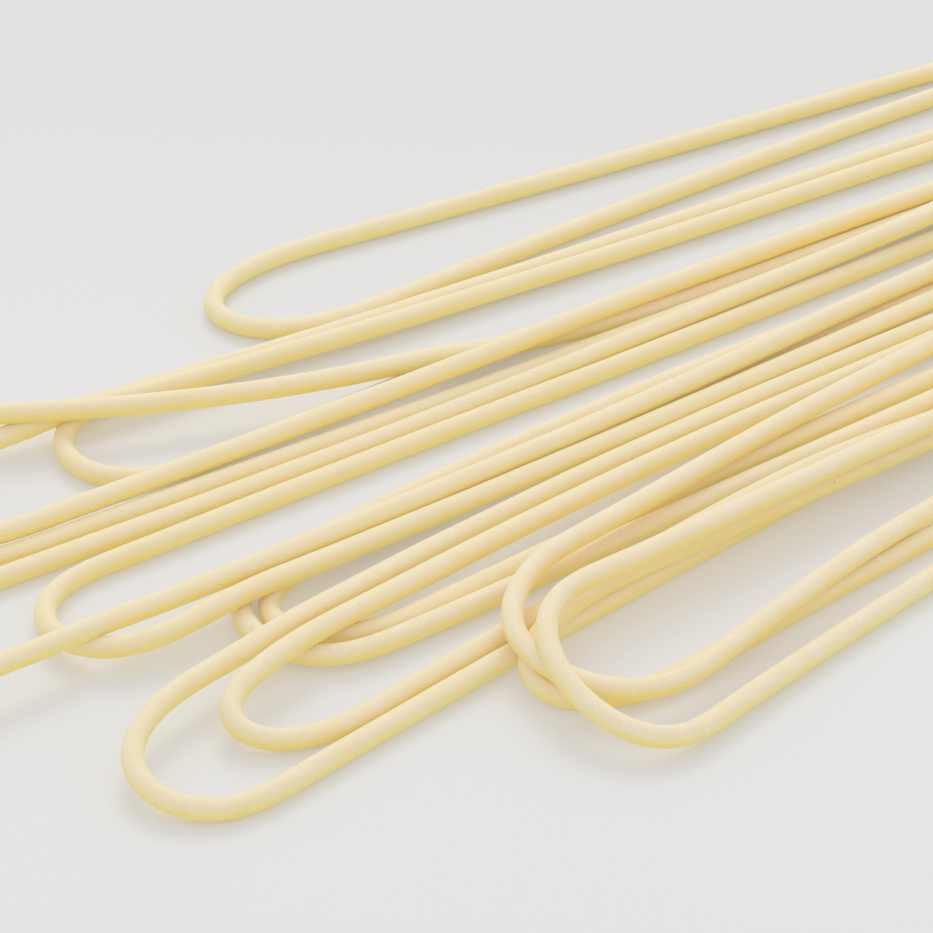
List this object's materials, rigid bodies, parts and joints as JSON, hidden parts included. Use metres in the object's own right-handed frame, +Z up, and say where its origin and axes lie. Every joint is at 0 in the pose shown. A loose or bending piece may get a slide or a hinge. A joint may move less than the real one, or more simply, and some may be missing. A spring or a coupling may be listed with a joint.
{
  "type": "bundle of dry spaghetti",
  "caption": "Loose flat bundle of long dry spaghetti strands, each folded in two over a drying rod, bends at one end and cut ends at the other.",
  "frame": {"origin": "centre of the bundle's outline at the height of the surface it lies on", "axes": "+X along the strands from the bends towards the cut ends, +Y across the bundle, +Z up"},
  "size_m": [0.3204, 0.0918, 0.0076],
  "materials": {
    "dried_pasta": "matt, floury dried durum wheat"
  },
  "bodies": {
    "root": {"strand_01": "dried_pasta", "strand_02": "dried_pasta", "strand_03": "dried_pasta", "strand_04": "dried_pasta", "strand_05": "dried_pasta", "strand_06": "dried_pasta", "strand_07": "dried_pasta", "strand_08": "dried_pasta", "strand_09": "dried_pasta", "strand_10": "dried_pasta", "strand_11": "dried_pasta", "strand_12": "dried_pasta", "strand_13": "dried_pasta"}
  },
  "joints": []
}
